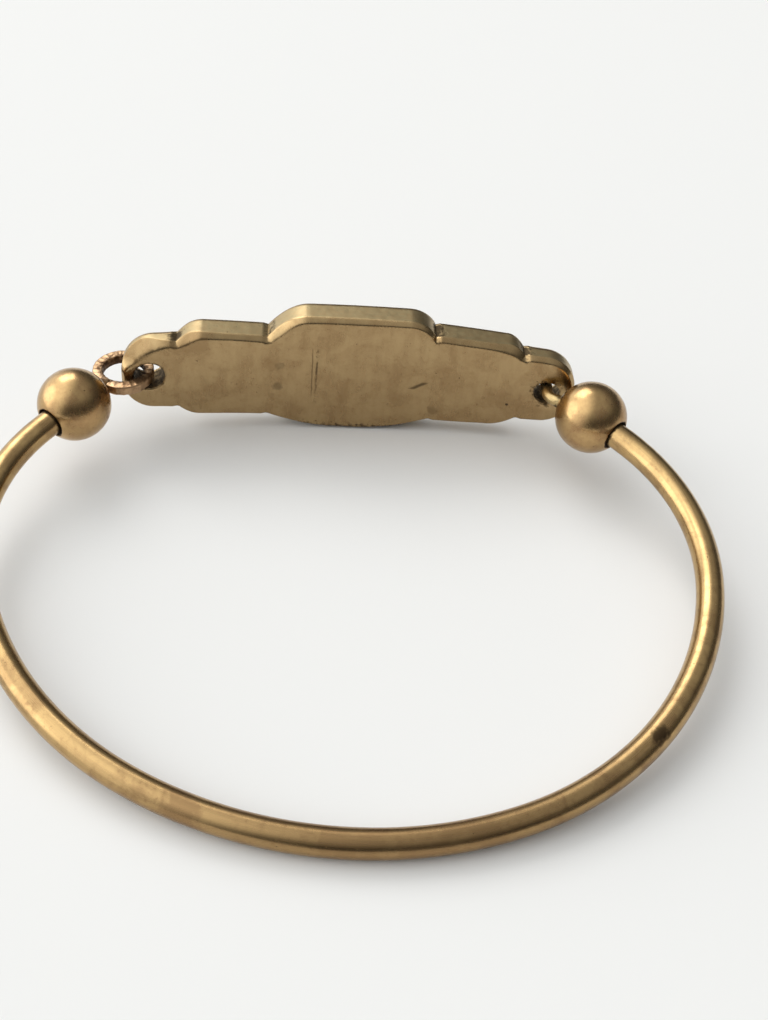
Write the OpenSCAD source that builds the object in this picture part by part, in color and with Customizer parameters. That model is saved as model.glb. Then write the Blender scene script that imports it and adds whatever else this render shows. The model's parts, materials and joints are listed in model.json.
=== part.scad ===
// Bangle bracelet: a C of round brass wire with a ball on each end, closed by a curved
// three-tier plaque. The plaque hangs on a small ring at one ball and is caught by a
// hook at the other. It lies as on a table: the front of the wire and the lower edge of
// the plaque touch z = 0, and the wire's plane rises towards the plaque.
// +X points to the hook side, +Y from the wire's front to the plaque.

/* [Wire] */
// Diameter of the round wire
wire_d = 2.5; // [2.3:0.1:2.7]
// From the wire's front to the line through the balls, along the wire's plane
wire_depth = 45.4; // [44.6:0.2:46]
// Bend radius at the front, hook side
hook_front_r = 35; // [34:0.5:36]
// Bend radius at the flank, hook side
hook_flank_r = 28; // [27:0.5:29]
// Bend radius at the back, hook side
hook_back_r = 21.5; // [21:0.5:22.5]
// Bend radius at the front, ring side
ring_front_r = 37.5; // [36.5:0.5:38.5]
// Bend radius at the flank, ring side
ring_flank_r = 31.5; // [30.5:0.5:32.5]
// Bend radius at the back, ring side
ring_back_r = 19; // [18.5:0.5:20]

/* [Balls] */
// Diameter of each ball
ball_d = 7; // [6.6:0.1:7.2]
// Width of the countersink where the wire enters a ball
countersink_d = 3.1; // [3:0.1:3.4]

/* [Hinge ring] */
// Outer diameter of the ring
ring_d = 6; // [5.9:0.1:6.2]
// Width of the ring's square section, along its radius
ring_section_w = 1; // [0.95:0.05:1.05]
// Height of the ring's square section
ring_section_h = 1; // [0.95:0.05:1.05]
// Direction from the ring's ball to the ring's centre, turned from +X towards +Y
ring_bearing = 51.5; // [50.5:0.5:52.5]

/* [Clasp hook] */
// Diameter of the hook's wire
hook_wire_d = 1.2; // [1:0.05:1.3]
// Direction in which the hook leaves its ball, turned from +X towards +Y
hook_bearing = 142; // [138:1:144]
// Centreline radius of the hook's bends
hook_bend_r = 1.3; // [1.1:0.1:1.5]
// Straight length of the hook inside the plaque's hole
hook_reach = 2.6; // [2.4:0.1:3]
// How far the tip turns towards the plaque's end
hook_tip_turn = 35; // [20:5:40]

/* [Plaque] */
// Length of the plaque, end to end
plaque_l = 44.6; // [44.2:0.2:44.8]
// Height of the middle tier
plaque_h = 13.4; // [13:0.2:13.8]
// How far the hook's end hangs down as the plaque stands on its arched lower edge
plaque_tilt = 1.2; // [0:0.2:1.2]
// Thickness at the middle
plaque_t = 3.1; // [2.9:0.1:3.3]
// Length of the middle tier
middle_l = 16.4; // [16:0.2:16.8]
// Length over the second tiers
second_l = 34; // [33.6:0.2:34.4]
// Height of the second tiers
second_h = 10; // [9.6:0.2:10.4]
// Height of the end tiers
end_h = 8; // [7.6:0.2:8.4]
// Bend radius of the inner face
inner_face_r = 150; // [130:5:170]
// Bend radius of the outer face
outer_face_r = 135; // [130:5:140]
// Diameter of the two drilled holes
hole_d = 3; // [2.95:0.05:3.1]
// Distance between the two holes
hole_spacing = 39.2; // [39:0.2:39.4]

/* [Hidden] */
$fn = 96;
face_fn = 720;                // the plaque's faces are slices of very large drums
brass = "darkgoldenrod";
old_brass = "peru";
seat_gap = 0.03;              // radial, between a soldered pin and its bore
wire_sides = 20;              // flats round the wire
wire_step = 4;                // most degrees that the wire turns between two stations
hook_sides = 16;
hook_step = 9;
tail = 4;                     // straight end of the wire, up to its ball's centre
hook_side_turns = [20.5, 84]; // where the wire's bend radius changes, in degrees of turn
ring_side_turns = [31.5, 81.5];
countersink_depth = 0.35;
braze_gap = 0.1;              // between the ring's rim and its ball
neck_d = 1.5;                 // brazed neck that joins the ring to its ball
ring_set_out = -0.038;         // from the middle of the plaque's end wall to the ring's centre
neck_root = 0.8;              // how far from the ball's centre the neck and hook start
ring_play = 0.55;             // from the ring's centre to that middle, along the plaque
notch_w = 0.35;               // small V cut where one tier meets the next
shoulder_steps = 12;          // flats that make up a tier's shoulder
foot_flat = 0.04;             // rubbed off where the plaque stands

wire_r = wire_d / 2;
ball_r = ball_d / 2;
ring_r = ring_d / 2;
hook_r = hook_wire_d / 2;
hole_z = plaque_h / 2;        // height of the balls, the ring, the hook and the holes
wire_tilt = asin((hole_z - wire_r) / wire_depth);

// One side of the wire is three arcs [radius, start, end], each tangent to the next. The
// angles are the wire's direction, counted from the front, where it runs along X. The
// last arc ends where the straight tail brings the ball's centre to wire_depth.
function arc_run(a) = a[0] * (sin(a[2]) - sin(a[1]));
function arc_rise(a) = a[0] * (cos(a[1]) - cos(a[2]));
function last_turn(r, start, rise) =
    atan2(r, tail) + asin((rise - r * cos(start)) / norm([r, tail]));
function wire_side_arcs(front_r, flank_r, back_r, turns) =
    let (front = [front_r, 0, turns[0]], flank = [flank_r, turns[0], turns[1]])
    let (rise = wire_depth - arc_rise(front) - arc_rise(flank))
    [front, flank, [back_r, turns[1], last_turn(back_r, turns[1], rise)]];
// Start of arc k: how far it is sideways and away from the front
function arc_start(arcs, k) = k == 0 ? [0, 0] :
    arc_start(arcs, k - 1) + [arc_run(arcs[k - 1]), arc_rise(arcs[k - 1])];
function arc_centre(arcs, k) =
    arc_start(arcs, k) + arcs[k][0] * [-sin(arcs[k][1]), cos(arcs[k][1])];
function tail_turn(arcs) = arcs[2][2];
function ball_x(arcs) = arc_start(arcs, 3)[0] + tail * cos(tail_turn(arcs));
// The wire is widest where the last arc runs straight away from the front
function side_reach(arcs) = arc_centre(arcs, 2)[0] + arcs[2][0] + wire_r;

hook_arcs = wire_side_arcs(hook_front_r, hook_flank_r, hook_back_r, hook_side_turns);
ring_arcs = wire_side_arcs(ring_front_r, ring_flank_r, ring_back_r, ring_side_turns);

ball_y = wire_depth * cos(wire_tilt);
hook_ball_at = [ball_x(hook_arcs), ball_y, hole_z];
ring_ball_at = [-ball_x(ring_arcs), ball_y, hole_z];
ring_at = ring_ball_at
    + (ball_r + braze_gap + ring_r) * [cos(ring_bearing), sin(ring_bearing), 0];

// A quarter of the plaque's outline, from its end to its middle. Each tier is a row [notch x,
// notch z, shoulder z, shoulder run, shoulder power, z at the tier's other end]; a power of
// 0.5 makes the shoulder round and 1 makes it a ramp that levels off.
end_x = plaque_l / 2;
second_x = second_l / 2;
middle_x = middle_l / 2;
end_z = end_h / 2;
second_z = second_h / 2;
top_z = plaque_h / 2;
upper_left = [
    [end_x, 0.6, end_z - 0.15, 3, 0.5, end_z - 0.15],
    [second_x, end_z - 0.28, second_z - 0.2, 2.4, 1, second_z - 0.65],
    [middle_x, second_z - 0.8, top_z, 4, 1, top_z]];
upper_right = [
    [end_x, 0.6, end_z, 3, 0.5, end_z + 0.05],
    [second_x, end_z - 0.15, second_z - 0.15, 1.7, 0.8, second_z + 0.2],
    [middle_x, second_z + 0.05, top_z, 2.6, 0.7, top_z]];
lower_left = [
    [end_x, 0.6, end_z + 0.1, 3.2, 0.5, end_z + 0.2],
    [second_x, end_z + 0.1, second_z + 0.1, 2.2, 1, second_z + 0.25],
    [middle_x, second_z + 0.15, top_z, 7, 1, top_z]];
lower_right = [
    [end_x, 0.6, end_z - 0.2, 3.2, 0.5, end_z - 0.1],
    [second_x, end_z - 0.22, second_z, 3, 1, second_z + 0.2],
    [middle_x, second_z + 0.08, top_z, 7.8, 1, top_z]];
function tier_points(t, next_x) = concat(
    [for (i = [0:shoulder_steps]) let (k = pow(i / shoulder_steps, 2))
        [t[0] - t[3] * k, t[1] + (t[2] - t[1]) * pow(1 - pow(1 - k, 2), t[4])]],
    next_x == 0 ? [] : [[next_x + notch_w, t[5]]]);
function quarter_points(q) = concat(
    tier_points(q[0], q[1][0]), tier_points(q[1], q[2][0]), tier_points(q[2], 0));
function flip(points, x, z) = [for (p = points) [p[0] * x, p[1] * z]];
outline = concat(
    quarter_points(upper_right), reversed(flip(quarter_points(upper_left), -1, 1)),
    flip(quarter_points(lower_left), -1, -1), reversed(flip(quarter_points(lower_right), 1, -1)));

// How far a face with bend radius r has fallen back at x from the plaque's middle
function face_drop(r, x) = r - sqrt(r * r - x * x);
// The ring goes round the wall between the hole and the plaque's end
end_wall_x = (plaque_l + hole_spacing + hole_d) / 4;
end_wall_y =
    (plaque_t - face_drop(inner_face_r, end_wall_x) - face_drop(outer_face_r, end_wall_x)) / 2;
plaque_foot = min([for (p = outline) p[1] * cos(plaque_tilt) - p[0] * sin(plaque_tilt)]);
plaque_at = [
    ring_at[0] + end_wall_x + ring_play,
    ring_at[1] - end_wall_y - ring_set_out,
    -plaque_foot - foot_flat];
hole_x = hole_spacing / 2;
hole_lean = asin(hole_x / inner_face_r);

// The origin is under the middle of the whole bracelet
origin_at = [
    (side_reach(hook_arcs) - side_reach(ring_arcs)) / 2,
    (max(plaque_at[1] + plaque_t, ring_at[1] + ring_r) - wire_r) / 2,
    0];

// A rod follows stations [x, y, heading]. These lie on an arc from heading a up to, but
// not including, heading b; it turns left if b is the larger and right if it is the smaller.
function arc_stations(centre, r, a, b, step) =
    let (n = ceil(abs(b - a) / step), side = sign(b - a))
    [for (i = [0:n - 1]) let (h = a + (b - a) * i / n)
        [centre[0] + side * r * sin(h), centre[1] - side * r * cos(h), h]];
function ahead(station, run) =
    station + run * [cos(station[2]), sin(station[2]), 0];
function reversed(list) = [for (i = [len(list) - 1:-1:0]) list[i]];

// Solid round rod through stations in the XY plane
module rod(stations, r, sides) {
    points = [
        for (s = stations, i = [0:sides - 1])
            let (across = r * cos(360 * i / sides))
            [s[0] + across * sin(s[2]), s[1] - across * cos(s[2]), r * sin(360 * i / sides)]];
    start_face = [for (i = [sides - 1:-1:0]) i];
    end_face = [for (i = [0:sides - 1]) len(points) - sides + i];
    wall_faces = [
        for (k = [0:len(stations) - 2], i = [0:sides - 1])
            let (next = (i + 1) % sides, first = k * sides)
            [first + i, first + next, first + next + sides, first + i + sides]];
    polyhedron(points, concat([start_face], wall_faces, [end_face]));
}

// One side of the wire, from its front to the middle of its ball
function side_stations(arcs) =
    let (tail_start = concat(arc_start(arcs, 3), tail_turn(arcs)))
    concat(
        [for (k = [0:2]) each
            arc_stations(arc_centre(arcs, k), arcs[k][0], arcs[k][1], arcs[k][2], wire_step)],
        [tail_start, ahead(tail_start, tail)]);
wire_stations = concat(
    [for (s = reversed(side_stations(ring_arcs))) if (s[0] > 0) [-s[0], s[1], -s[2]]],
    side_stations(hook_arcs));

module bangle_wire() color(brass) translate([0, 0, wire_r] - origin_at)
    rotate([wire_tilt, 0, 0]) rod(wire_stations, wire_r, wire_sides);

// A ball drilled for the wire's end, which comes in at wire_turn in the wire's plane, and
// for a thinner pin of radius pin_r, which leaves level at pin_bearing
module end_ball(wire_turn, pin_bearing, pin_r) {
    mouth = sqrt(ball_r * ball_r - countersink_d * countersink_d / 4);
    difference() {
        sphere(ball_r);
        rotate([wire_tilt, 0, 0]) rotate([0, -90, wire_turn]) {
            cylinder(r = wire_r + seat_gap, h = ball_r + 1);
            translate([0, 0, mouth - countersink_depth]) cylinder(d = countersink_d, h = ball_r);
        }
        rotate([0, 90, pin_bearing]) cylinder(r = pin_r + seat_gap, h = ball_r + 1);
    }
}

module ring_ball() color(brass) translate(ring_ball_at - origin_at)
    end_ball(180 - tail_turn(ring_arcs), ring_bearing, neck_d / 2);

module hook_ball() color(brass) translate(hook_ball_at - origin_at)
    end_ball(tail_turn(hook_arcs), hook_bearing, hook_r);

module hinge_ring() color(old_brass) {
    translate(ring_at - origin_at) rotate_extrude()
        translate([ring_r - ring_section_w, -ring_section_h / 2])
            square([ring_section_w, ring_section_h]);
    translate(ring_ball_at - origin_at) rotate([0, 90, ring_bearing])
        translate([0, 0, neck_root])
            cylinder(d = neck_d, h = ball_r + braze_gap + ring_section_w / 2 - neck_root);
}

// The hook leaves its ball roughly along the wire, bends into the plaque's hole and turns
// its tip towards the plaque's end
hook_bend_x = plaque_at[0] + hole_x + hook_bend_r;
hook_start = ahead([hook_ball_at[0], hook_ball_at[1], hook_bearing], neck_root);
hook_shank = (hook_start[0] - hook_bend_x + hook_bend_r * sin(hook_bearing)) / -cos(hook_bearing);
hook_bend_y = ahead(hook_start, hook_shank)[1] - hook_bend_r * cos(hook_bearing);
hook_tip = 90 - hook_tip_turn;
hook_stations = concat(
    [hook_start],
    arc_stations([hook_bend_x, hook_bend_y], hook_bend_r, hook_bearing, 90, hook_step),
    [[hook_bend_x - hook_bend_r, hook_bend_y, 90]],
    arc_stations([hook_bend_x, hook_bend_y + hook_reach], hook_bend_r, 90, hook_tip, hook_step),
    [[hook_bend_x - hook_bend_r * sin(hook_tip),
        hook_bend_y + hook_reach + hook_bend_r * cos(hook_tip), hook_tip]]);

module clasp_hook() color(old_brass) translate([0, 0, hole_z] - origin_at)
    rod(hook_stations, hook_r, hook_sides);

module plaque() color(brass) difference() {
    translate(plaque_at - origin_at) rotate([0, plaque_tilt, 0]) difference() {
        intersection() {
            translate([0, plaque_t - outer_face_r, -plaque_h])
                cylinder(r = outer_face_r, h = 2 * plaque_h, $fn = face_fn);
            translate([0, 2 * plaque_t, 0]) rotate([90, 0, 0])
                linear_extrude(4 * plaque_t) polygon(outline);
        }
        translate([0, -inner_face_r, -plaque_h])
            cylinder(r = inner_face_r, h = 2 * plaque_h, $fn = face_fn);
        for (side = [-1, 1])
            translate([side * hole_x, -face_drop(inner_face_r, hole_x), 0])
                rotate([-90, 0, -side * hole_lean])
                    translate([0, 0, -2 * plaque_t]) cylinder(d = hole_d, h = 4 * plaque_t);
    }
    translate([-plaque_l / 2, 0, -1]) cube([plaque_l, 3 * plaque_h, 1]);
}

bangle_wire();
ring_ball();
hook_ball();
hinge_ring();
clasp_hook();
plaque();
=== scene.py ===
"""Looks of the hinged bangle: every CAD piece is replaced by a detailed brass one in the
same place. Lengths are in millimetres here and turned into metres when a mesh is made."""

import json
import math

import bmesh
import bpy
import numpy as np
from mathutils import Matrix, Vector, noise
from mathutils.geometry import delaunay_2d_cdt


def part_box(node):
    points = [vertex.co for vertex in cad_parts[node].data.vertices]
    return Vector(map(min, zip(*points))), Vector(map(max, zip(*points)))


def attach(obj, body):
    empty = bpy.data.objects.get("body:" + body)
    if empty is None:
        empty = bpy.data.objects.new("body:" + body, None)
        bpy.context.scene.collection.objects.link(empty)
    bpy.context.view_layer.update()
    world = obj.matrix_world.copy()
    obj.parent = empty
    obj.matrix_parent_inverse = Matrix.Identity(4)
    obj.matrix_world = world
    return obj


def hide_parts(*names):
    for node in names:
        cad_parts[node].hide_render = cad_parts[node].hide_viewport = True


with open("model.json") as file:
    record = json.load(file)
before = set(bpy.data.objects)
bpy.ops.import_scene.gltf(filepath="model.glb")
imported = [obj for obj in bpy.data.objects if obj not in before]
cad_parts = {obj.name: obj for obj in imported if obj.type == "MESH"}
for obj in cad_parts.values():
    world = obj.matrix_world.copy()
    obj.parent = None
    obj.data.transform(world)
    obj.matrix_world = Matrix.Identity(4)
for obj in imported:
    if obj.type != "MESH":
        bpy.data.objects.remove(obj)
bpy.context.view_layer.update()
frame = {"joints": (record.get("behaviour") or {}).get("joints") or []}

MM = 0.001
BANGLE, PLAQUE_BODY = "bangle", "plaque_body"

# ---------------------------------------------------------------- numbers of the CAD part
WIRE_R = 1.25
TAIL = 4.0
HOLE_Z = 6.7
WIRE_DEPTH = 45.4
WIRE_FRONT = Vector((2.0409, -26.1208, WIRE_R))
WIRE_TILT = math.asin((HOLE_Z - WIRE_R) / WIRE_DEPTH)
# Arcs (radius, start, end) of each side of the wire, from its front. Angles are its turn.
HOOK_SIDE = [(35.0, 0.0, 20.5), (28.0, 20.5, 84.0), (21.5, 84.0, 133.211)]
RING_SIDE = [(37.5, 0.0, 31.5), (31.5, 31.5, 81.5), (19.0, 81.5, 128.063)]
RING_BEARING = 51.5
RING_R, RING_W, RING_H = 3.0, 1.0, 1.0
HOOK_R = 0.6
HOOK_BEARING = 142.0
HOOK_BEND_R = 1.3
HOOK_REACH = 2.6
HOOK_TIP_TURN = 35.0
PLAQUE_T = 3.1
INNER_FACE_R, OUTER_FACE_R = 150.0, 135.0
HOLE_X, HOLE_R = 19.6, 1.5
PLAQUE_TILT = math.radians(1.2)


def box_centre(node):
    lo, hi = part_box(node)
    return (lo + hi) / 2 / MM


RING_BALL_AT = box_centre("ring_ball")
HOOK_BALL_AT = box_centre("hook_ball")
BALL_R = (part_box("hook_ball")[1].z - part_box("hook_ball")[0].z) / 2 / MM
RING_AT = Vector(frame["joints"][0]["pos_m"]) / MM
PLAQUE_AT = Vector((0.4087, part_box("plaque")[1].y / MM - PLAQUE_T, 6.6669))


# ---------------------------------------------------------------- mesh helpers
def smoothstep(low, high, x):
    t = np.clip((x - low) / (high - low), 0, 1)
    return t * t * (3 - 2 * t)


def piece(name, points, faces, node, body, slot, material, at=(0, 0, 0), crease=40, **layers):
    """A shaded mesh that stands for a CAD node, with its faces turned outward and its edges
    sharp over that crease angle in degrees. Layers are its named point attributes."""
    mesh = bpy.data.meshes.new(name)
    mesh.from_pydata([tuple(Vector(p) * MM) for p in points], [], faces)
    mesh.validate()
    outward = bmesh.new()
    outward.from_mesh(mesh)
    bmesh.ops.recalc_face_normals(outward, faces=outward.faces)
    outward.to_mesh(mesh)
    outward.free()
    for layer, values in layers.items():
        values = np.array(values, np.float32)
        kind = "FLOAT" if values.ndim == 1 else "FLOAT_VECTOR"
        attribute = mesh.attributes.new(layer, kind, "POINT")
        attribute.data.foreach_set("value" if kind == "FLOAT" else "vector", values.ravel())
    mesh.shade_smooth()
    mesh.set_sharp_from_angle(angle=math.radians(crease))
    mesh.materials.append(material)
    obj = bpy.data.objects.new(name, mesh)
    bpy.context.scene.collection.objects.link(obj)
    obj.location = Vector(at) * MM
    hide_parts(node)
    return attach(obj, body)


def sweep(line, section, closed=False):
    """Points, faces and rod coordinates of a section swept along a line of (point, side, up).
    The section is a function of the station's number, and gives (side, up) offsets."""
    points, faces, rod = [], [], []
    run = 0.0
    for k, (at, side, up) in enumerate(line):
        run += (at - line[k - 1][0]).length if k else 0.0
        for across, above in section(k):
            points.append(at + side * across + up * above)
            rod.append((run, across, above))
    n = len(points) // len(line)
    for k in range(len(line) if closed else len(line) - 1):
        a, b = k * n, (k + 1) % len(line) * n
        faces += [(a + i, a + (i + 1) % n, b + (i + 1) % n, b + i) for i in range(n)]
    if not closed:
        faces += [tuple(range(n)), tuple(range(len(points) - n, len(points)))]
    return points, faces, rod


def circle(r, sides):
    return [(r * math.cos(2 * math.pi * i / sides), r * math.sin(2 * math.pi * i / sides))
            for i in range(sides)]


def spin(at, axis, profile, sides):
    """Points and faces of a profile of (radius, height) turned round an axis from a point.
    Ends with radius 0 become one point."""
    axis = axis.normalized()
    side = axis.orthogonal().normalized()
    other = axis.cross(side)
    points, rows = [], []
    for radius, height in profile:
        if radius < 1e-6:
            rows.append([len(points)] * sides)
            points.append(at + axis * height)
            continue
        rows.append(range(len(points), len(points) + sides))
        for i in range(sides):
            b = 2 * math.pi * i / sides
            points.append(at + axis * height + radius * (side * math.cos(b) + other * math.sin(b)))
    faces = []
    for low, high in zip(rows, rows[1:]):
        for i in range(sides):
            j = (i + 1) % sides
            corners = [low[i], low[j], high[j], high[i]]
            faces.append(tuple(dict.fromkeys(corners)))
    return points, faces


def wander(p, size, seed):
    """Smooth noise from about -1 to 1 at a point, with features about as big as size."""
    return noise.noise(Vector(p) / size + Vector((seed, 7.3 * seed, 0)))


# ---------------------------------------------------------------- brass
class Nodes:
    """Short calls that add nodes to a material or world and return output sockets."""

    def __init__(self, tree):
        self.tree = tree
        tree.nodes.clear()

    def node(self, kind, **settings):
        made = self.tree.nodes.new(kind)
        for key, value in settings.items():
            setattr(made, key, value)
        return made

    def put(self, socket, value):
        if isinstance(value, bpy.types.NodeSocket):
            self.tree.links.new(value, socket)
        elif isinstance(value, tuple) and len(value) == 3 and socket.type == "RGBA":
            socket.default_value = (*value, 1)
        else:
            socket.default_value = value

    def math(self, operation, *values, clamp=False):
        made = self.node("ShaderNodeMath", operation=operation, use_clamp=clamp)
        for socket, value in zip(made.inputs, values):
            self.put(socket, value)
        return made.outputs[0]

    def vector(self, operation, *values):
        made = self.node("ShaderNodeVectorMath", operation=operation)
        for socket, value in zip(made.inputs, values):
            self.put(socket, value)
        return made.outputs["Value" if operation in ("DOT_PRODUCT", "LENGTH", "DISTANCE") else 0]

    def noise(self, coords, scale, detail=3.0, rough=0.55, distort=0.0):
        made = self.node("ShaderNodeTexNoise")
        self.put(made.inputs["Vector"], coords)
        for key, value in (("Scale", scale), ("Detail", detail), ("Roughness", rough),
                           ("Distortion", distort)):
            made.inputs[key].default_value = value
        return made.outputs[0]

    def spread(self, value, low, high, to_low=0.0, to_high=1.0):
        made = self.node("ShaderNodeMapRange", interpolation_type="SMOOTHSTEP")
        for socket, v in zip(made.inputs, (value, low, high, to_low, to_high)):
            self.put(socket, v)
        return made.outputs[0]

    def mix(self, share, a, b):
        made = self.node("ShaderNodeMix", data_type="RGBA")
        for socket, value in zip((made.inputs[0], made.inputs[6], made.inputs[7]), (share, a, b)):
            self.put(socket, value)
        return made.outputs[2]

    def attribute(self, name, output="Fac"):
        return self.node("ShaderNodeAttribute", attribute_name=name).outputs[output]

    def bump(self, height, distance, before=None):
        made = self.node("ShaderNodeBump")
        made.inputs["Distance"].default_value = distance * MM
        self.put(made.inputs["Height"], height)
        if before is not None:
            self.put(made.inputs["Normal"], before)
        return made.outputs[0]


def brass(name, light, dark, stain_and_shade_colour, roughness, patina=(0.42, 0.7), streak=(1, 1, 1), marks=None,
          coords=None, relief=1.0, cast=(0.4, 0.31, 0.165)):
    """Worn brass. Light and dark are its clean and its browned colour, and stain is the dark
    colour of tarnished joints and of painted shade. Cast is the colour of unpolished walls. The
    point attributes worn, tarnish and wall, from 0 to 1, say where a piece is browned, darkened
    and
    unpolished: the browning is painted shade, and the darkening is partly tarnished joints and
    notches and partly painted shade. Streak stretches the polish lines, in lines per millimetre.
    Marks is a function that returns a mask of dark marks. Coords names the point attribute that
    holds the place on the piece."""
    material = bpy.data.materials.new(name)
    material.use_nodes = True
    n = Nodes(material.node_tree)
    if coords:
        place = n.attribute(coords, "Vector")
    else:
        place = n.vector("SCALE", n.node("ShaderNodeTexCoord").outputs["Object"])
        place.node.inputs["Scale"].default_value = 1 / MM
    lines = n.noise(n.vector("MULTIPLY", place, streak), 1.0, 4.0, 0.6)
    cloud = n.noise(place, 0.35, 4.0, 0.6, 0.4)
    mottle = n.noise(place, 2.2, 5.0, 0.6)
    grain = n.noise(place, 9.0, 3.0, 0.6)
    browning_and_shade = n.spread(cloud, *patina)
    browning_and_shade = n.math("ADD", n.math("MULTIPLY", browning_and_shade, 0.7), n.spread(mottle, 0.5, 0.8, 0.0, 0.5))
    # The browning attribute adds painted shade here (set only on the wire's front).
    browning_and_shade = n.math("ADD", browning_and_shade, n.attribute("worn"), clamp=True)
    colour = n.mix(browning_and_shade, light, dark)
    colour = n.mix(n.spread(lines, 0.35, 0.75, 0.0, 0.35), colour, dark)
    # The darkening attribute holds painted shade and tarnished spots; with pits and marks it mixes
    # in the dark third colour.
    tarnish = n.attribute("tarnish")
    edge = n.math("ADD", tarnish, n.spread(mottle, 0.35, 0.7, -0.22, 0.22))
    stain_and_shade_mask = n.math("MULTIPLY", n.spread(edge, 0.2, 0.75), n.spread(tarnish, 0.02, 0.15))
    pits = n.spread(n.noise(place, 3.1, 1.0, 0.5), 0.76, 0.82)
    stain_and_shade_mask = n.math("MAXIMUM", stain_and_shade_mask, n.math("MULTIPLY", pits, 0.8))
    if marks:
        stain_and_shade_mask = n.math("MAXIMUM", stain_and_shade_mask, marks(n, place))
    wall = n.attribute("wall")
    colour = n.mix(n.math("MULTIPLY", wall, n.spread(mottle, 0.35, 0.65, 0.45, 1.0)), colour, cast)
    colour = n.mix(n.math("MULTIPLY", stain_and_shade_mask, 0.92), colour, stain_and_shade_colour)
    low, high = roughness
    rough = n.spread(lines, 0.25, 0.75, low, high)
    rough = n.math("ADD", rough, n.math("MULTIPLY", wall, 0.1))
    rough = n.math("ADD", rough, n.spread(browning_and_shade, 0.0, 1.0, 0.0, 0.05))
    rough = n.math("ADD", rough, n.math("MULTIPLY", stain_and_shade_mask, 0.3), clamp=True)
    normal = n.bump(lines, 0.006 * relief)
    normal = n.bump(grain, 0.0012 * relief, normal)
    normal = n.bump(stain_and_shade_mask, -0.012, normal)
    shader = n.node("ShaderNodeBsdfPrincipled")
    shader.inputs["Metallic"].default_value = 1.0
    for key, value in (("Base Color", colour), ("Roughness", rough), ("Normal", normal)):
        n.put(shader.inputs[key], value)
    n.put(n.node("ShaderNodeOutputMaterial").inputs["Surface"], shader.outputs[0])
    return material


def wire_marks(n, place):
    """A dark scorched spot on the hook side of the wire's front."""
    away = n.vector("SUBTRACT", place, (WIRE_SPOT, 0.35, 1.1))
    away = n.vector("LENGTH", n.vector("MULTIPLY", away, (0.7, 1.2, 1.2)))
    away = n.math("ADD", away, n.spread(n.noise(place, 1.4), 0.3, 0.7, -0.2, 0.2))
    return n.spread(away, 0.95, 0.45, 0.0, 0.9)


def face_marks(n, place):
    """Marks on the plaque's inner face: an upright double scratch, a short dark dash, two pits
    and a few blotches."""
    split = n.node("ShaderNodeSeparateXYZ")
    n.put(split.inputs[0], place)
    x, y, z = split.outputs
    waver = n.spread(n.noise(place, 0.9, 2.0), 0.2, 0.8, -0.12, 0.12)

    def stroke(x0, z0, lean, width, reach, power):
        """A soft line through (x0, z0), leaning by lean, of that half width and half reach."""
        along = n.math("SUBTRACT", z, z0)
        off = n.math("SUBTRACT", n.math("SUBTRACT", x, x0), n.math("MULTIPLY", along, lean))
        off = n.math("ABSOLUTE", n.math("ADD", off, n.math("MULTIPLY", waver, 0.35)))
        line = n.spread(off, width, width * 0.2)
        return n.math("MULTIPLY", n.math("MULTIPLY", line, power),
                      n.spread(n.math("ABSOLUTE", along), reach, reach * 0.6))

    def spot(x0, z0, radius, power):
        """A soft uneven disc round (x0, z0)."""
        dx, dz = n.math("SUBTRACT", x, x0), n.math("SUBTRACT", z, z0)
        away = n.math("SQRT", n.math("ADD", n.math("POWER", dx, 2.0), n.math("POWER", dz, 2.0)))
        away = n.math("ADD", away, n.math("MULTIPLY", waver, radius * 4))
        return n.math("MULTIPLY", n.spread(away, radius, radius * 0.35), power)

    found = stroke(-3.3, 0.6, 0.02, 0.17, 4.8, 0.75)
    patchy = n.spread(n.noise(place, 0.8), 0.4, 0.65)
    found = n.math("MULTIPLY", found, patchy)
    for mark in (stroke(-3.75, 0.4, 0.0, 0.1, 3.4, 0.5), stroke(6.9, -0.6, 1.5, 0.5, 0.55, 0.8),
                 spot(15.9, -1.9, 0.17, 1.0), spot(4.0, -3.1, 0.2, 0.45),
                 spot(-6.8, 1.2, 0.6, 0.32), spot(-7.0, -1.4, 0.55, 0.4),
                 spot(8.6, -3.6, 0.6, 0.3)):
        found = n.math("MAXIMUM", found, mark)
    depth = n.math("ADD", y, n.math("MULTIPLY", n.math("POWER", x, 2.0), 0.5 / INNER_FACE_R))
    inner = n.math("MULTIPLY", n.spread(n.attribute("wall"), 0.3, 0.1), n.spread(depth, 1.4, 1.1))
    return n.math("MULTIPLY", found, inner)


# ---------------------------------------------------------------- the wire
def side_line(arcs, step=0.5):
    """Stations (x, y, heading in radians) of one side of the wire in its own plane."""
    stations, x, y = [], 0.0, 0.0
    for r, start, end in arcs:
        a, b = math.radians(start), math.radians(end)
        cx, cy = x - r * math.sin(a), y + r * math.cos(a)
        count = math.ceil(r * (b - a) / step)
        for i in range(count):
            h = a + (b - a) * i / count
            stations.append((cx + r * math.sin(h), cy - r * math.cos(h), h))
        x, y = cx + r * math.sin(b), cy - r * math.cos(b)
    for i in range(9):
        run = TAIL * i / 8
        stations.append((x + run * math.cos(b), y + run * math.sin(b), b))
    return stations


def in_wire_plane(x, y, z=0.0):
    return Matrix.Rotation(WIRE_TILT, 3, "X") @ Vector((x, y, z))


ring_side, hook_side = side_line(RING_SIDE), side_line(HOOK_SIDE)
stations = [(-x, y, -h) for x, y, h in reversed(ring_side[1:])] + hook_side
UP = in_wire_plane(0, 0, 1)
wire_line = [(WIRE_FRONT + in_wire_plane(x, y), in_wire_plane(math.sin(h), -math.cos(h)), UP)
             for x, y, h in stations]
FRONT_RUN = 0.5 * (len(ring_side) - 9) + TAIL  # length of the wire's ring side
WIRE_SPOT = FRONT_RUN + 25.3


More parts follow.
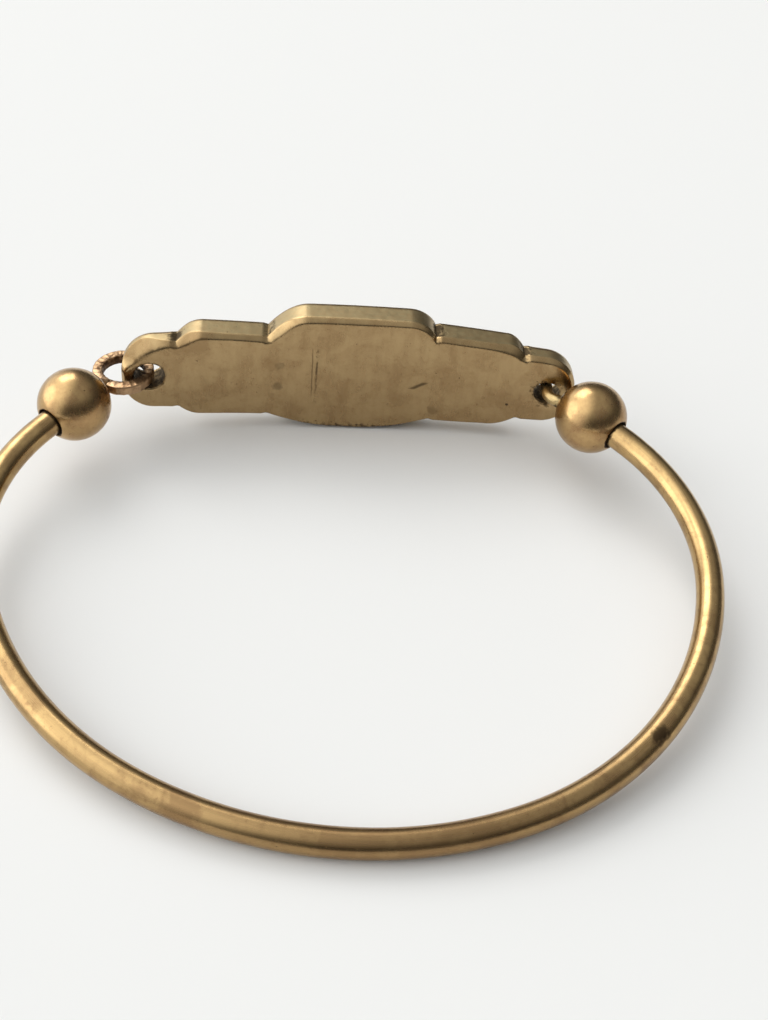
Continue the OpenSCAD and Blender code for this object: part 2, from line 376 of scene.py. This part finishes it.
def wire_section(k):
    """Nearly round, with faint flats and swells left by bending."""
    at = wire_line[k][0]
    swell = 0.012 * wander(at, 9.0, 1)
    return [(a * (1 + swell + 0.006 * wander((at.x, at.y, 3 * b), 5.0, 2)), b * (1 - swell))
            for a, b in circle(WIRE_R - 0.01, 40)]


points, faces, rod = sweep(wire_line, wire_section)
run_end = rod[-1][0]
# Darker near the wire's ends, where it goes into the balls, and painted shade on its underside.
tarnish = [0.9 * float(smoothstep(3.6, 3.2, min(s, run_end - s)))
           + 0.25 * float(smoothstep(0.2, -1.1, above)) for s, _, above in rod]
# Painted shade: the wire's front is browned to dim its reflection.
worn = [0.8 * math.exp(-((s - FRONT_RUN - 2) / 24) ** 2) for s, _, _ in rod]
wire_brass = brass("wire_brass", (0.55, 0.37, 0.165), (0.3, 0.185, 0.085), (0.035, 0.022, 0.012),
                   (0.18, 0.28), patina=(0.42, 0.7), streak=(0.12, 3.2, 3.2), marks=wire_marks,
                   coords="rod")
piece("bangle_wire_bent", points, faces, "bangle_wire", BANGLE, "wire_brass", wire_brass,
      rod=rod, tarnish=tarnish, worn=worn)


# ---------------------------------------------------------------- the balls
MOUTH_R = 1.52  # rim of the countersink that the wire goes into


def ball(name, node, at, wire_turn, pin_bearing, seed, material):
    """A drilled ball: a countersunk mouth for the wire and a few dents. Painted shade darkens the
    inside of the mouth and the lower right side, and dark solder and painted shade darken the seam
    round the mouth and the join round the pin.
    """
    a = math.radians(wire_turn)
    axis = in_wire_plane(-math.cos(a), -math.sin(a))
    start = math.asin(MOUTH_R / BALL_R)
    rim = BALL_R * math.cos(start)
    profile = [(0.0, rim - 0.85), (WIRE_R - 0.05, rim - 0.8), (WIRE_R + 0.02, rim - 0.5),
               (WIRE_R + 0.1, rim - 0.3), (MOUTH_R - 0.09, rim - 0.12),
               (MOUTH_R - 0.03, rim - 0.02)]
    steps = 84
    for i in range(steps + 1):
        t = start + 0.014 + (math.pi - start - 0.014) * i / steps
        profile.append((BALL_R * math.sin(t) if i < steps else 0.0, BALL_R * math.cos(t)))
    points, faces = spin(Vector((0, 0, 0)), axis, profile, 112)
    p = math.radians(pin_bearing)
    pin = Vector((math.cos(p), math.sin(p), 0))
    shaped, tarnish = [], []
    for v in points:
        n = v.normalized()
        from_wire, from_pin = n.angle(axis) * BALL_R, n.angle(pin) * BALL_R
        dent = 0.02 * wander(v, 3.5, seed) + 0.012 * wander(v, 1.5, seed + 3)
        dent *= float(smoothstep(1.6, 2.4, from_wire))
        shaped.append(v * (1 - 0.004 + dent / BALL_R))
        # Painted shade fills the mouth; the seam round it and the join round the pin are dark
        # solder and painted shade.
        seam_and_shade_reach = 1.75 + 0.55 * max(0, wander(v, 1.7, seed + 5))
        dark = 1.0 if v.length < BALL_R - 0.05 else 0.85 * float(smoothstep(seam_and_shade_reach, 1.5, from_wire))
        dark = max(dark, 0.75 * float(smoothstep(1.5, 0.7, from_pin)))
        # Painted shade: the ball's lower right side is darker.
        low = 0.3 * float(smoothstep(0.1, 1.0, n.dot(Vector((0.55, 0.1, -0.83)))))
        tarnish.append(max(dark, low))
    return piece(name, shaped, faces, node, BANGLE, "ball_brass", material, at=at,
                 tarnish=tarnish)


ball_brass = brass("ball_brass", (0.5, 0.33, 0.15), (0.32, 0.185, 0.09), (0.04, 0.022, 0.012),
                   (0.19, 0.28), patina=(0.4, 0.68), streak=(2.0, 0.7, 2.0), relief=1.2)
ball("ring_side_ball", "ring_ball", RING_BALL_AT, 180 - RING_SIDE[2][2], RING_BEARING, 11,
     ball_brass)
ball("hook_side_ball", "hook_ball", HOOK_BALL_AT, HOOK_SIDE[2][2], HOOK_BEARING, 23, ball_brass)


# ---------------------------------------------------------------- the hammered ring
def hammer_blows(count, seed):
    """Edges of the blows round the ring, as shares of a turn."""
    steps = [1 + 0.45 * wander((i, 0, 0), 0.37, seed) for i in range(count)]
    total = sum(steps)
    edges, at = [0.0], 0.0
    for step in steps:
        at += step / total
        edges.append(at)
    return edges


def hollow(share, edges):
    """Depth of a blow, 0 at its ridges and 1 in its middle."""
    for i, (low, high) in enumerate(zip(edges, edges[1:])):
        if low <= share <= high:
            t = (share - low) / (high - low)
            return (1 - (2 * t - 1) ** 2) * (0.75 + 0.5 * wander((i, 2, 0), 0.41, 5))
    return 0.0


TOP_BLOWS, RIM_BLOWS = hammer_blows(25, 31), hammer_blows(21, 47)
RING_STATIONS = 264


def ring_section(k):
    """A hammered square section, a little broader where the ring faces the wire's front."""
    share = k / RING_STATIONS
    bearing = 360 * share
    top, rim = 0.038 * hollow(share, TOP_BLOWS), 0.03 * hollow(share, RIM_BLOWS)
    near = float(smoothstep(240, 265, bearing)) * float(smoothstep(325, 305, bearing))
    w, h, corner = RING_W / 2 + 0.06 * near, RING_H / 2, 0.14
    found = []
    for i in range(4):
        for j in range(5):
            b = math.radians(90 * i + 22.5 * j)
            cx = (w - corner) * (1 if i in (0, 3) else -1)
            cy = (h - corner) * (1 if i in (0, 1) else -1)
            across, above = cx + corner * math.cos(b), cy + corner * math.sin(b)
            across -= rim * (across > 0.3) - 0.06 * near
            above -= top * above / h
            found.append((across, above))
    return found


ring_line = []
for k in range(RING_STATIONS):
    b = 2 * math.pi * k / RING_STATIONS
    out = Vector((math.cos(b), math.sin(b), 0))
    ring_line.append((out * (RING_R - RING_W / 2), out, Vector((0, 0, 1))))
points, faces, rod = sweep(ring_line, ring_section, closed=True)
# Painted shade on the ring's inner side and towards its underside.
tarnish = [0.55 * float(smoothstep(0.1, -0.45, across)) + 0.4 * (0.5 - 0.5 * above)
           for _, across, above in rod]

to_ball = RING_BALL_AT - RING_AT
gap = to_ball.length - BALL_R
neck = [(0.0, gap - 0.9), (0.72, gap - 0.85), (0.73, gap - 0.35), (0.8, gap - 0.12),
        (1.0, gap + 0.03), (1.16, gap + 0.2), (0.9, gap + 0.5), (0.0, gap + 0.6)]
more, more_faces = spin(Vector((0, 0, 0)), to_ball, neck, 32)
faces += [tuple(i + len(points) for i in f) for f in more_faces]
tarnish += [0.5] * len(more)
points += more
ring_brass = brass("ring_brass", (0.48, 0.315, 0.18), (0.32, 0.19, 0.1), (0.07, 0.035, 0.018),
                   (0.24, 0.36), patina=(0.4, 0.7), relief=1.6)
piece("hammered_ring", points, faces, "hinge_ring", BANGLE, "ring_brass", ring_brass,
      at=RING_AT, crease=28, tarnish=tarnish)

# ---------------------------------------------------------------- the hook
bearing = math.radians(HOOK_BEARING)
tip = math.radians(90 - HOOK_TIP_TURN)
bend_x = PLAQUE_AT.x + HOLE_X + HOOK_BEND_R
start = (HOOK_BALL_AT.x + 0.8 * math.cos(bearing), HOOK_BALL_AT.y + 0.8 * math.sin(bearing))
shank = (start[0] - bend_x + HOOK_BEND_R * math.sin(bearing)) / -math.cos(bearing)
bend_y = start[1] + shank * math.sin(bearing) - HOOK_BEND_R * math.cos(bearing)
hook_path = [(start[0] + shank * t / 12 * math.cos(bearing),
              start[1] + shank * t / 12 * math.sin(bearing), bearing) for t in range(12)]
for i in range(17):
    h = bearing + (math.pi / 2 - bearing) * i / 16
    hook_path.append((bend_x - HOOK_BEND_R * math.sin(h), bend_y + HOOK_BEND_R * math.cos(h), h))
for i in range(1, 10):
    hook_path.append((bend_x - HOOK_BEND_R, bend_y + HOOK_REACH * i / 10, math.pi / 2))
for i in range(17):
    h = math.pi / 2 + (tip - math.pi / 2) * i / 16
    hook_path.append((bend_x - HOOK_BEND_R * math.sin(h),
                      bend_y + HOOK_REACH + HOOK_BEND_R * math.cos(h), h))
for i in range(1, 9):
    x, y, h = hook_path[-1]
    step = HOOK_R * 0.7 * (math.sin(math.pi / 16 * i) - math.sin(math.pi / 16 * (i - 1)))
    hook_path.append((x + step * math.cos(h), y + step * math.sin(h), h))
round_tip = {len(hook_path) - 9 + i: math.cos(math.pi / 16 * i) for i in range(1, 9)}


def hook_section(k):
    """Round wire with a rounded tip, its thickness wandering a little."""
    x, y, _ = hook_path[k]
    size = max(round_tip.get(k, 1.0), 0.08) * (1 + 0.015 * wander((x, y, 0), 1.6, 8))
    return [(a * size, b * size) for a, b in circle(HOOK_R - 0.012, 28)]


hook_line = [(Vector((x, y, HOLE_Z)), Vector((math.sin(h), -math.cos(h), 0)), Vector((0, 0, 1)))
             for x, y, h in hook_path]
points, faces, rod = sweep(hook_line, hook_section)
# Darker where it leaves the ball, and painted shade on its underside.
tarnish = [0.7 * float(smoothstep(3.4, 2.6, s)) + 0.3 * float(smoothstep(0.1, -0.6, above))
           for s, _, above in rod]
hook_brass = brass("hook_brass", (0.6, 0.45, 0.22), (0.35, 0.24, 0.11), (0.05, 0.03, 0.016),
                   (0.22, 0.34), streak=(0.3, 5.0, 5.0), coords="rod")
piece("bent_hook", points, faces, "clasp_hook", BANGLE, "hook_brass", hook_brass,
      rod=rod, tarnish=tarnish)

# ---------------------------------------------------------------- the plaque
# A quarter of the outline, from its end to its middle. Each tier is a row (notch x, notch z,
# shoulder z, shoulder run, shoulder power, z at the tier's other end).
END_X, SECOND_X, MIDDLE_X = 22.3, 17.0, 8.2
END_Z, SECOND_Z, TOP_Z = 4.0, 5.0, 6.7
NOTCH_W = 0.35
PITCH = 0.17  # of the outline's points
FACE_STEP = 0.62  # of the points in the middle of a face
EDGE_ROWS = (0.06, 0.13, 0.21, 0.3, 0.4, 0.52, 0.68, 0.9, 1.2, 1.6, 2.1)
HOLE_ROWS = (0.06, 0.13, 0.22, 0.36, 0.58)
WALL_ROWS = 7
UPPER_LEFT = ((END_X, 0.6, END_Z - 0.15, 3.0, 0.5, END_Z - 0.15),
              (SECOND_X, END_Z - 0.28, SECOND_Z - 0.2, 2.4, 1.0, SECOND_Z - 0.65),
              (MIDDLE_X, SECOND_Z - 0.8, TOP_Z, 4.0, 1.0, TOP_Z))
UPPER_RIGHT = ((END_X, 0.6, END_Z, 3.0, 0.5, END_Z + 0.05),
               (SECOND_X, END_Z - 0.15, SECOND_Z - 0.15, 1.7, 0.8, SECOND_Z + 0.2),
               (MIDDLE_X, SECOND_Z + 0.05, TOP_Z, 2.6, 0.7, TOP_Z))
LOWER_LEFT = ((END_X, 0.6, END_Z + 0.1, 3.2, 0.5, END_Z + 0.2),
              (SECOND_X, END_Z + 0.1, SECOND_Z + 0.1, 2.2, 1.0, SECOND_Z + 0.25),
              (MIDDLE_X, SECOND_Z + 0.15, TOP_Z, 7.0, 1.0, TOP_Z))
LOWER_RIGHT = ((END_X, 0.6, END_Z - 0.2, 3.2, 0.5, END_Z - 0.1),
               (SECOND_X, END_Z - 0.22, SECOND_Z, 3.0, 1.0, SECOND_Z + 0.2),
               (MIDDLE_X, SECOND_Z + 0.08, TOP_Z, 7.8, 1.0, TOP_Z))


def quarter_outline(tiers, steps=22):
    """Points (x, z) of a quarter, with the notches between its tiers."""
    found = []
    for k, (x, low, high, run, power, other) in enumerate(tiers):
        for i in range(steps + 1):
            t = (i / steps) ** 2
            found.append((x - run * t, low + (high - low) * (1 - (1 - t) ** 2) ** power))
        if k < 2:
            found += [(tiers[k + 1][0] + NOTCH_W + 0.1, other + 0.01),
                      (tiers[k + 1][0] + NOTCH_W, other - 0.03)]
    return found


def resampled(loop, pitch):
    """The closed loop with each side cut into pieces no longer than pitch."""
    found = []
    for (ax, ay), (bx, by) in zip(loop, loop[1:] + loop[:1]):
        count = max(1, math.ceil(math.hypot(bx - ax, by - ay) / pitch))
        found += [(ax + (bx - ax) * i / count, ay + (by - ay) * i / count) for i in range(count)]
    return found


outline = quarter_outline(UPPER_RIGHT)
outline += [(-x, z) for x, z in reversed(quarter_outline(UPPER_LEFT))]
outline += [(-x, -z) for x, z in quarter_outline(LOWER_LEFT)]
outline += [(x, -z) for x, z in reversed(quarter_outline(LOWER_RIGHT))]
outline = np.array(resampled(outline, PITCH))
rims = [np.array([(side * HOLE_X + r * math.cos(b), r * math.sin(b))
                  for b in [2 * math.pi * i / 72 for i in range(72)]])
        for side, r in ((-1, HOLE_R), (1, HOLE_R - 0.2))]


def distance_to(loop, at):
    """Distance of each point to a closed loop."""
    a, b = loop[None], np.roll(loop, -1, 0)[None]
    t = np.clip(((at[:, None] - a) * (b - a)).sum(2) / ((b - a) ** 2).sum(2), 0, 1)
    return np.sqrt(((at[:, None] - a - (b - a) * t[..., None]) ** 2).sum(2).min(1))


def inside(loop, at):
    """Whether each point is inside a closed loop."""
    a, b = loop[None], np.roll(loop, -1, 0)[None]
    y = at[:, None, 1]
    crosses = (a[..., 1] > y) != (b[..., 1] > y)
    with np.errstate(divide="ignore", invalid="ignore"):
        x = a[..., 0] + (y - a[..., 1]) * (b[..., 0] - a[..., 0]) / (b[..., 1] - a[..., 1])
    return (crosses & (at[:, None, 0] < x)).sum(1) % 2 == 1


def in_plaque(at):
    ok = inside(outline, at)
    for rim in rims:
        ok &= ~inside(rim, at)
    return ok


def face_points():
    """Points on rows along the outline and round the holes, and on a grid between them."""
    ahead = np.roll(outline, -1, 0) - np.roll(outline, 1, 0)
    inward = np.stack([-ahead[:, 1], ahead[:, 0]], 1)
    inward /= np.linalg.norm(inward, axis=1)[:, None]
    rows = []
    for row, depth in enumerate(EDGE_ROWS):
        skip = 1 + (depth > 0.35) + (depth > 0.8) + (depth > 1.5)
        at = (outline + inward * depth)[row % skip::skip]
        rows.append(at[distance_to(outline, at) > depth * 0.93])
    for rim, side in zip(rims, (-1, 1)):
        centre = np.array([side * HOLE_X, 0.0])
        rows += [centre + (rim - centre) * (1 + depth / HOLE_R) for depth in HOLE_ROWS]
    low_x, low_z = -21.9, -6.4
    xs, zs = np.meshgrid(np.arange(low_x, 22, FACE_STEP), np.arange(low_z, 6.5, FACE_STEP))
    xs = xs + FACE_STEP / 2 * (np.round((zs - low_z) / FACE_STEP) % 2)
    grid = np.stack([xs.ravel(), zs.ravel()], 1)
    rows.append(grid[distance_to(outline, grid) > 2.3])
    at = np.concatenate(rows)
    keep = in_plaque(at) & (distance_to(outline, at) > 0.04)
    for rim in rims:
        away = distance_to(rim, at)
        on_row = np.abs(away[:, None] - np.array(HOLE_ROWS)).min(1) < 2e-3
        keep &= (away > 0.72) | on_row
    return at[keep]


def plaque_grid():
    """Points and triangles of the plaque's outline, finer towards its edges and holes."""
    edges, count = [], 0
    for loop in (outline, *rims):
        edges += [(count + i, count + (i + 1) % len(loop)) for i in range(len(loop))]
        count += len(loop)
    flat = np.concatenate([outline, *rims, face_points()])
    made = delaunay_2d_cdt([Vector(p) for p in flat], edges, [], 0, 1e-5, False)
    points = np.array([tuple(p) for p in made[0]])
    triangles = np.array([f for f in made[2] if len(f) == 3])
    triangles = triangles[in_plaque(points[triangles].mean(1))]
    return points, [tuple(f) for f in triangles.tolist()]


def lone_edges(triangles):
    """Directed edges that belong to only one triangle."""
    used = dict.fromkeys(e for a, b, c in triangles for e in ((a, b), (b, c), (c, a)))
    return [(i, j) for i, j in used if (j, i) not in used]


def face_drop(r, x):
    return r - np.sqrt(r * r - x * x)


def bevel_width(at):
    """The inner face's filed edge, widest on the ring side's upper shoulders."""
    x, z = at[:, 0], at[:, 1]
    filed = np.array([wander((px, pz, 0), 4.0, 3) for px, pz in at])
    wide = 0.95 * np.exp(-((x + 20.6) / 2.0) ** 2) + 0.35 * np.exp(-((x + 15.8) / 1.0) ** 2)
    wide += 0.3 * np.exp(-((x + 6.8) / 1.2) ** 2) + 0.3 * np.exp(-((x - 16.0) / 1.2) ** 2)
    return 0.36 + 0.08 * filed + wide * smoothstep(0.5, 2.0, z)


def face_levels(flat, edge, hole):
    """How far back the inner and the outer face lie in a straight plate, from the distance of
    each point to the outline and to the nearest hole."""
    width = bevel_width(flat)
    ripple = np.array([wander((x, z, 0), 6.0, 9) + 0.4 * wander((x, z, 0), 2.2, 4)
                       for x, z in flat])
    depth = 0.16 + 0.95 * width
    inner = depth * np.clip(1 - edge / width, 0, None) ** 1.2
    inner = inner + 0.11 * np.clip(1 - hole / 0.16, 0, None) ** 1.5 + 0.012 * ripple
    inner -= 0.012 * ripple.min()
    ends = smoothstep(15.5, 18.0, np.abs(flat[:, 0])) * smoothstep(-0.5, 1.5, flat[:, 1])
    crown = np.sqrt(np.clip(1 - np.clip(1 - edge / (0.7 + 1.5 * ends), 0, 1) ** 2, 0, 1))
    outer = PLAQUE_T - (0.3 + 0.9 * ends) * (1 - crown)
    outer -= 0.12 * np.clip(1 - hole / 0.22, 0, None) ** 1.5
    return inner, outer


def bent(flat, level):
    """Points of the plate at that level, bent to its two face radii. Holes lean outward."""
    x, z = flat[:, 0], flat[:, 1]
    thick = (PLAQUE_T - face_drop(OUTER_FACE_R, x) + face_drop(INNER_FACE_R, x)) / PLAQUE_T
    y = level * thick
    near = np.minimum(np.hypot(x - HOLE_X, z), np.hypot(x + HOLE_X, z))
    lean = (1 - smoothstep(1.9, 2.6, near)) * x / INNER_FACE_R
    return np.stack([x + y * lean, y - face_drop(INNER_FACE_R, x), z], 1)


def tilted(level):
    """The level plaque's points turned by its tilt, and flat where it stands on the floor."""
    x, y, z = level.T
    c, s = math.cos(PLAQUE_TILT), math.sin(PLAQUE_TILT)
    return np.stack([x * c + z * s, y, np.maximum(z * c - x * s, 0.005 - PLAQUE_AT.z)], 1)


def seam_tarnish(flat, hole):
    """Painted shade along the lower edge, where the plaque stands on the floor, and round the
    holes, and darkening in the notches.
    """
    x, z = flat[:, 0], flat[:, 1]
    # Painted shade: the bottom edge near the floor and the rims of the holes.
    foot = 0.6 * smoothstep(-5.2, -6.6, z) + 0.5 * smoothstep(0.5, 0.0, hole)
    notch = np.zeros(len(flat))
    for x0, z0 in ((SECOND_X, END_Z - 0.1), (MIDDLE_X, SECOND_Z)):
        for sx in (-1, 1):
            for sz in (-1, 1):
                away = np.hypot(x - sx * (x0 + 0.1), z - sz * z0)
                notch = np.maximum(notch, 0.6 * smoothstep(1.2, 0.1, away))
    return foot, notch


def plaque_mesh():
    """Points and faces of the plaque, its untilted points, its wall layer, and its darkening layer
    of painted shade, darker notches and darker walls.
    """
    flat, triangles = plaque_grid()
    edge = distance_to(outline, flat)
    hole = np.minimum(distance_to(rims[0], flat), distance_to(rims[1], flat))
    inner, outer = face_levels(flat, edge, hole)
    rim_edges = lone_edges(triangles)
    rim_ids = sorted({i for e in rim_edges for i in e})
    place = {i: k for k, i in enumerate(rim_ids)}
    count, rim = len(flat), flat[rim_ids]

    layers = [bent(flat, inner), bent(flat, outer)]
    faces = triangles + [(c + count, b + count, a + count) for a, b, c in triangles]
    ids = [rim_ids]
    for k in range(1, WALL_ROWS):
        first = 2 * count + (k - 1) * len(rim_ids)
        ids.append(range(first, first + len(rim_ids)))
        row = bent(rim, (inner + (outer - inner) * k / WALL_ROWS)[rim_ids])
        row[:, 2] += [0.012 * wander((x * 2, z * 2, k), 1.2, 6) for x, z in rim]
        layers.append(row)
    ids.append([i + count for i in rim_ids])
    for i, j in rim_edges:
        a, b = place[i], place[j]
        faces += [(low[b], low[a], high[a], high[b]) for low, high in zip(ids, ids[1:])]

    level = np.concatenate(layers)
    foot, notch = seam_tarnish(flat, hole)
    # Walls a little darker all round, with painted shade more at the foot and inside the holes,
    # and darker in the notches.
    on_wall = np.maximum(foot, notch)[rim_ids] * 1.1 + 0.15
    tarnish = np.concatenate([np.maximum(foot, notch * 0.5), foot * 0.5,
                              *[on_wall] * (WALL_ROWS - 1)])
    wall = np.repeat((0.0, 1.0), (2 * count, len(level) - 2 * count))
    return tilted(level), faces, level, wall, tarnish


points, faces, level, wall, tarnish = plaque_mesh()
plaque_brass = brass("plaque_brass", (0.43, 0.3, 0.15), (0.3, 0.19, 0.09), (0.06, 0.04, 0.022),
                     (0.2, 0.28), patina=(0.36, 0.7), streak=(1.2, 1.2, 0.25), marks=face_marks,
                     coords="level", relief=0.8)
piece("plaque_curved", points.tolist(), faces, "plaque", PLAQUE_BODY, "plaque_brass",
      plaque_brass, at=PLAQUE_AT, crease=48, level=level, wall=wall, tarnish=tarnish)


# ---------------------------------------------------------------- floor, light and camera
def make_floor():
    mesh = bpy.data.meshes.new("floor")
    half = 4.0
    mesh.from_pydata([(-half, -half, 0), (half, -half, 0), (half, half, 0), (-half, half, 0)],
                     [], [(0, 1, 2, 3)])
    material = bpy.data.materials.new("pale_floor")
    material.use_nodes = True
    n = Nodes(material.node_tree)
    shader = n.node("ShaderNodeBsdfPrincipled")
    shader.inputs["Base Color"].default_value = (0.83, 0.82, 0.812, 1)
    shader.inputs["Roughness"].default_value = 0.75
    shader.inputs["Specular IOR Level"].default_value = 0.25
    n.put(n.node("ShaderNodeOutputMaterial").inputs["Surface"], shader.outputs[0])
    mesh.materials.append(material)
    floor = bpy.data.objects.new("floor", mesh)
    bpy.context.scene.collection.objects.link(floor)


def softbox(name, direction, distance, size, power, tint):
    """A light panel in that direction, in metres and watts, which the camera doesn't see."""
    light = bpy.data.lights.new(name, "AREA")
    light.shape, light.size, light.size_y = "RECTANGLE", size[0], size[1]
    light.energy, light.color = power, tint
    obj = bpy.data.objects.new(name, light)
    bpy.context.scene.collection.objects.link(obj)
    away = Vector(direction).normalized()
    obj.location = away * distance
    obj.rotation_euler = away.to_track_quat("Z", "Y").to_euler()
    obj.visible_camera = False


def make_room():
    """A pale room, bright on its window side and overhead and dim at the horizon and on the
    right. The camera sees an even pale wall instead."""
    dim, wall = 0.11, 0.85
    world = bpy.data.worlds.new("room")
    bpy.context.scene.world = world
    world.use_nodes = True
    n = Nodes(world.node_tree)
    way = n.vector("NORMALIZE", n.node("ShaderNodeTexCoord").outputs["Generated"])
    split = n.node("ShaderNodeSeparateXYZ")
    n.put(split.inputs[0], way)
    left = n.spread(n.vector("DOT_PRODUCT", way, (-0.9, 0.15, 0.4)), 0.2, 0.85, 0.0, 1.5)
    above = n.spread(split.outputs["Z"], 0.35, 0.9, 0.0, 0.4)
    window = n.spread(n.vector("DOT_PRODUCT", way, (-0.949, 0.1, 0.3)), 0.87, 0.95, 0.0, 1.35)
    glow = n.math("ADD", n.math("ADD", left, above), n.math("ADD", window, dim))
    shader = n.node("ShaderNodeBackground")
    shader.inputs["Color"].default_value = (0.98, 1.0, 0.99, 1)
    seen = n.node("ShaderNodeLightPath").outputs["Is Camera Ray"]
    n.put(shader.inputs["Strength"],
          n.math("ADD", glow, n.math("MULTIPLY", seen, n.math("SUBTRACT", wall, glow))))
    n.put(n.node("ShaderNodeOutputWorld").inputs["Surface"], shader.outputs[0])


def make_camera():
    """Looks down on the bangle from the wire's side, at the photograph's angle."""
    at = Vector((-3.018, -86.958, 93.766))
    elevation, turn, roll = math.radians(43.312), math.radians(3.991), math.radians(-3.994)
    ahead = Vector((math.cos(elevation) * math.sin(turn), math.cos(elevation) * math.cos(turn),
                    -math.sin(elevation)))
    level = Vector((math.cos(turn), -math.sin(turn), 0))
    up = level.cross(ahead)
    across = level * math.cos(roll) - up * math.sin(roll)
    above = level * math.sin(roll) + up * math.cos(roll)
    data = bpy.data.cameras.new("camera")
    data.lens, data.sensor_width = 50, 36
    data.clip_start, data.clip_end = 0.01, 20
    camera = bpy.data.objects.new("camera", data)
    bpy.context.scene.collection.objects.link(camera)
    turned = Matrix((across, above, -ahead)).transposed().to_4x4()
    camera.matrix_world = Matrix.Translation(at * MM) @ turned
    bpy.context.scene.camera = camera


make_floor()
make_room()
softbox("ceiling", (-0.3, 0.66, 0.69), 2.0, (1.12, 1.0), 10.3, (1.0, 0.995, 0.98))
make_camera()
bpy.context.scene.view_settings.view_transform = "Standard"
